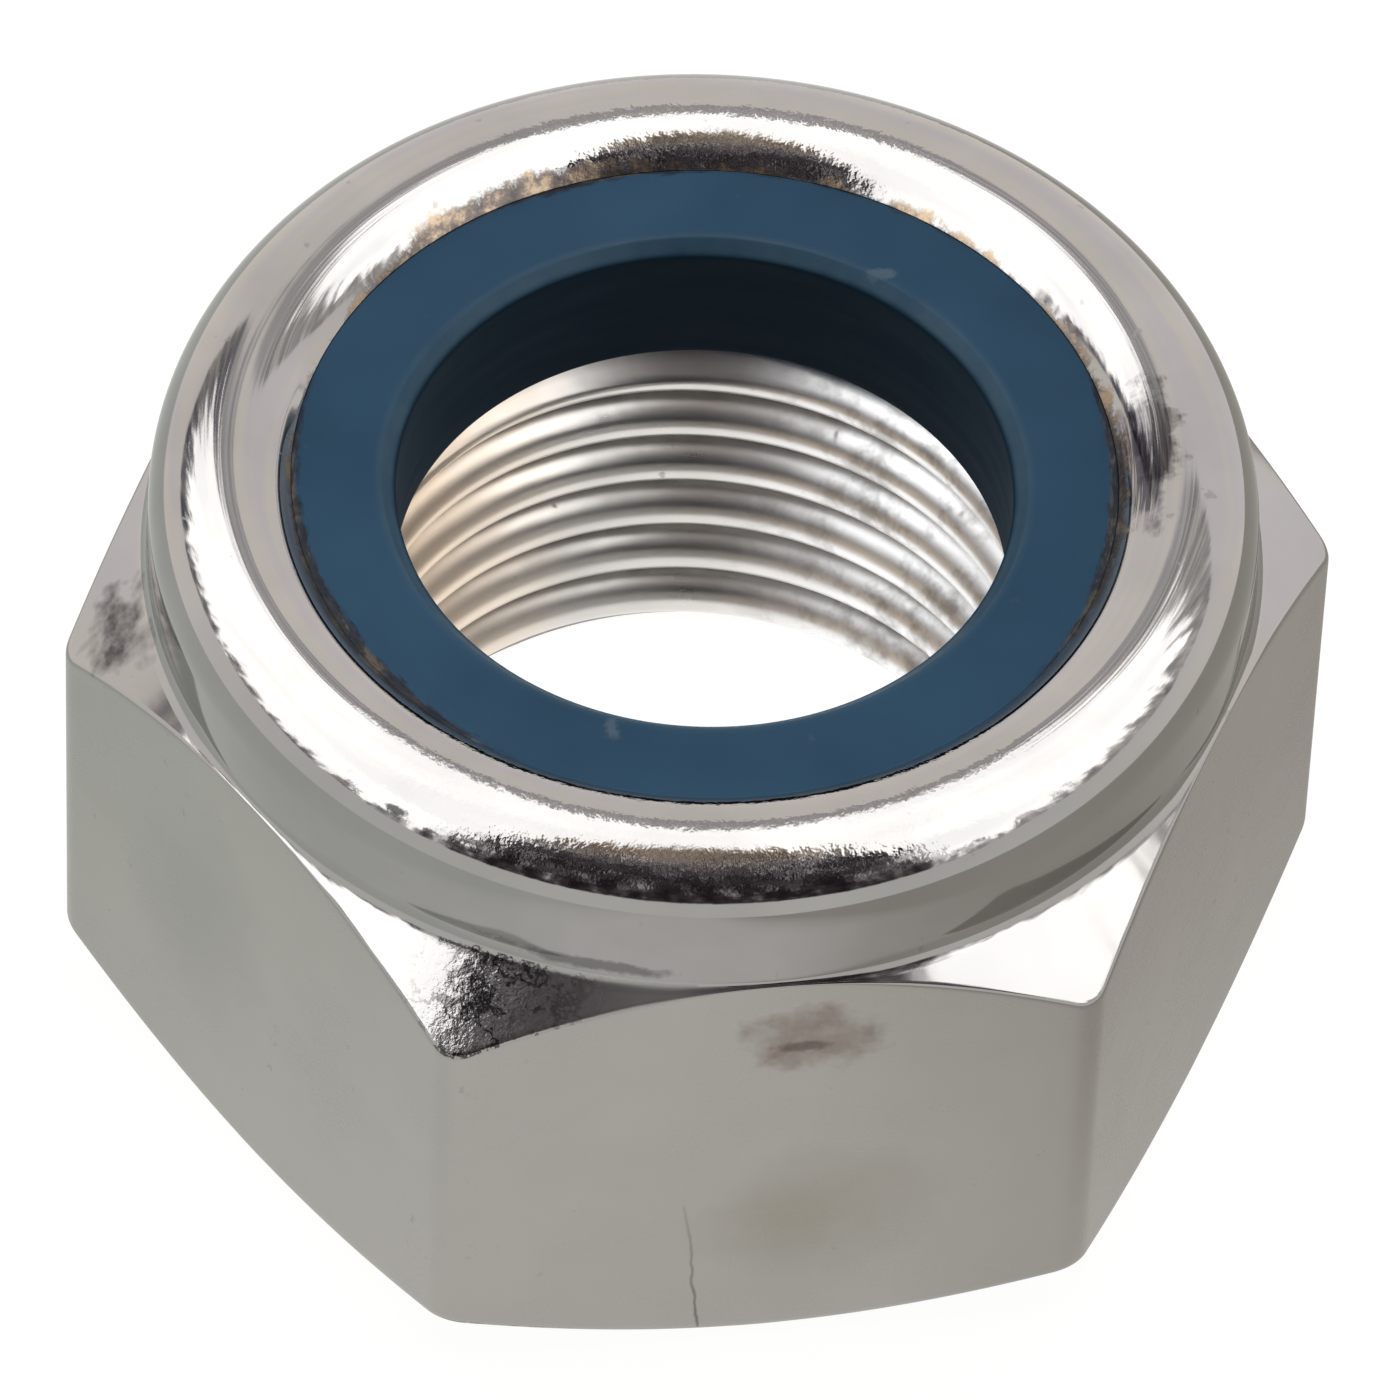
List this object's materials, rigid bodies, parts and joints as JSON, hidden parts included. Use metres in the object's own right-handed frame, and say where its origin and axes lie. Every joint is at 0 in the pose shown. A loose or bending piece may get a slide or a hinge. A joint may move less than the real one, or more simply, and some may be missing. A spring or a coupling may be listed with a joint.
{
  "type": "nylon insert lock nut",
  "caption": "Hexagonal steel lock nut with a rolled collar that holds a blue nylon ring above an internal fine thread.",
  "frame": {"origin": "centre of the flat bearing face at the bottom", "axes": "+Z along the thread axis, from the bearing face to the collar; two wrench flats face -Y and +Y"},
  "size_m": [0.0274, 0.024, 0.0152],
  "materials": {
    "steel": "polished",
    "nylon": "semi-gloss"
  },
  "bodies": {
    "root": {"nut_body": "steel", "nylon_insert": "nylon"}
  },
  "joints": []
}
